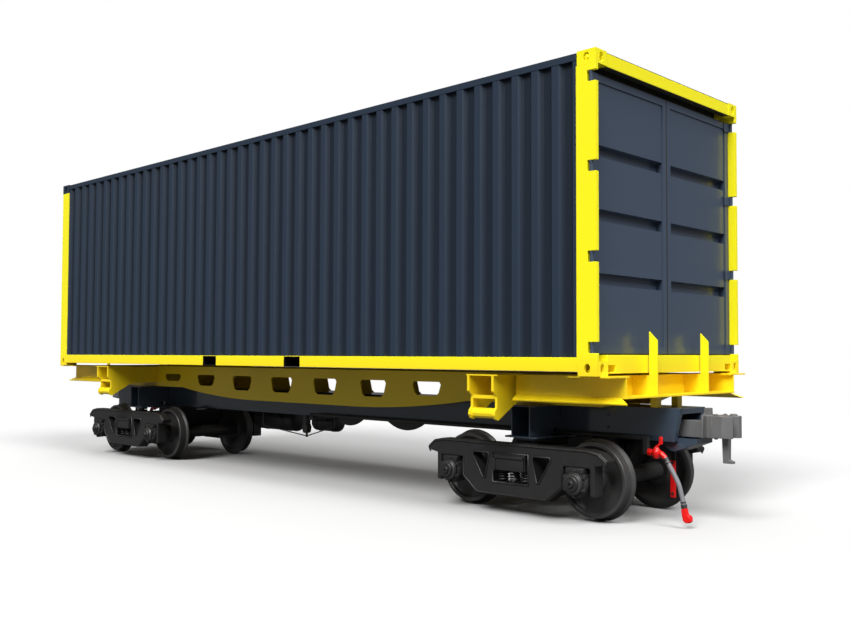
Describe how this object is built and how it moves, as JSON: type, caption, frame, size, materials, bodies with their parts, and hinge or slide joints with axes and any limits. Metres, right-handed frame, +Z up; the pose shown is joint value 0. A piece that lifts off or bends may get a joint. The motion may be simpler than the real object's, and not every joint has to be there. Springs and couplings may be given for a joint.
{
  "type": "flatcar with container",
  "caption": "Narrow-gauge flatcar with a fish-belly cradle and end stops, knuckle couplers and swivelling bogies, carrying a corrugated container with hinged end doors",
  "frame": {"origin": "on the ground plane that the wheel flanges stand on, under the middle of the wagon", "axes": "X along the wagon towards the door end, Y across to the left when looking along X, Z up"},
  "size_m": [10.272, 2.438, 3.8508],
  "materials": {
    "container_paint": "gloss",
    "door_paint": "gloss",
    "yellow_paint": "satin",
    "sill_paint": "gloss",
    "pocket_paint": "satin",
    "bogie_cast": "matt",
    "wheel_steel": "satin",
    "coupler_cast": "satin",
    "hose_rubber": "matt",
    "fitting_red": "satin",
    "brake_grey": "satin",
    "floor_wood": "matt"
  },
  "bodies": {
    "wagon": {"castings_top_near": "yellow_paint", "castings_top_far": "container_paint", "castings_bottom": "yellow_paint", "corner_posts": "yellow_paint", "bottom_rails": "yellow_paint", "fork_pockets": "pocket_paint", "floor_cross_members": "yellow_paint", "floor_boards": "floor_wood", "side_wall_right": "container_paint", "side_wall_left": "container_paint", "end_wall": "container_paint", "top_rails": "container_paint", "roof_panel": "container_paint", "door_frame": "yellow_paint", "cradle_girders": "yellow_paint", "cradle_cross_members": "yellow_paint", "end_frame_near": "yellow_paint", "end_frame_far": "yellow_paint", "hook_brackets": "yellow_paint", "centre_sill": "sill_paint", "body_bolsters": "sill_paint", "train_pipe_near": "brake_grey", "train_pipe_far": "brake_grey", "cross_pipe": "brake_grey", "angle_cocks": "fitting_red", "brake_hose_near": "hose_rubber", "brake_hose_far": "hose_rubber", "gladhand_near": "fitting_red", "gladhand_far": "fitting_red", "brake_equipment": "brake_grey", "brake_rods": "brake_grey"},
    "door_left": {"door_left": "door_paint"},
    "door_right": {"door_right": "door_paint"},
    "coupler_near": {"coupler_near": "coupler_cast"},
    "coupler_far": {"coupler_far": "coupler_cast"},
    "bogie_near": {"side_frames_near": "bogie_cast", "bogie_bolster_near": "bogie_cast", "springs_near": "bogie_cast", "bearings_near": "bogie_cast", "brake_beams_near": "bogie_cast"},
    "bogie_far": {"side_frames_far": "bogie_cast", "bogie_bolster_far": "bogie_cast", "springs_far": "bogie_cast", "bearings_far": "bogie_cast", "brake_beams_far": "bogie_cast"},
    "wheelset_near_outer": {"wheelset_near_outer": "wheel_steel"},
    "wheelset_near_inner": {"wheelset_near_inner": "wheel_steel"},
    "wheelset_far_inner": {"wheelset_far_inner": "wheel_steel"},
    "wheelset_far_outer": {"wheelset_far_outer": "wheel_steel"}
  },
  "joints": [
    {"name": "door_left_hinge", "type": "hinge", "parent": "wagon", "child": "door_left", "pos_m": [4.5085, 1.2, 2.56], "axis": [0, 0, 1], "range_deg": [0, 5]},
    {"name": "door_right_hinge", "type": "hinge", "parent": "wagon", "child": "door_right", "pos_m": [4.5085, -1.2, 2.56], "axis": [0, 0, -1], "range_deg": [0, 5]},
    {"name": "coupler_near_swing", "type": "hinge", "parent": "wagon", "child": "coupler_near", "pos_m": [4.42, 0, 0.804], "axis": [0, 0, 1], "range_deg": [-5, 5]},
    {"name": "coupler_far_swing", "type": "hinge", "parent": "wagon", "child": "coupler_far", "pos_m": [-4.42, 0, 0.804], "axis": [0, 0, 1], "range_deg": [-5, 5]},
    {"name": "bogie_near_swivel", "type": "hinge", "parent": "wagon", "child": "bogie_near", "pos_m": [3.4, 0, 0.64], "axis": [0, 0, 1], "range_deg": [-5, 5]},
    {"name": "bogie_far_swivel", "type": "hinge", "parent": "wagon", "child": "bogie_far", "pos_m": [-3.4, 0, 0.64], "axis": [0, 0, 1], "range_deg": [-5, 5]},
    {"name": "near_outer_spin", "type": "hinge", "parent": "bogie_near", "child": "wheelset_near_outer", "pos_m": [4.1, 0, 0.355], "axis": [0, 1, 0], "continuous": true},
    {"name": "near_inner_spin", "type": "hinge", "parent": "bogie_near", "child": "wheelset_near_inner", "pos_m": [2.7, 0, 0.355], "axis": [0, 1, 0], "continuous": true},
    {"name": "far_inner_spin", "type": "hinge", "parent": "bogie_far", "child": "wheelset_far_inner", "pos_m": [-2.7, 0, 0.355], "axis": [0, 1, 0], "continuous": true},
    {"name": "far_outer_spin", "type": "hinge", "parent": "bogie_far", "child": "wheelset_far_outer", "pos_m": [-4.1, 0, 0.355], "axis": [0, 1, 0], "continuous": true}
  ]
}
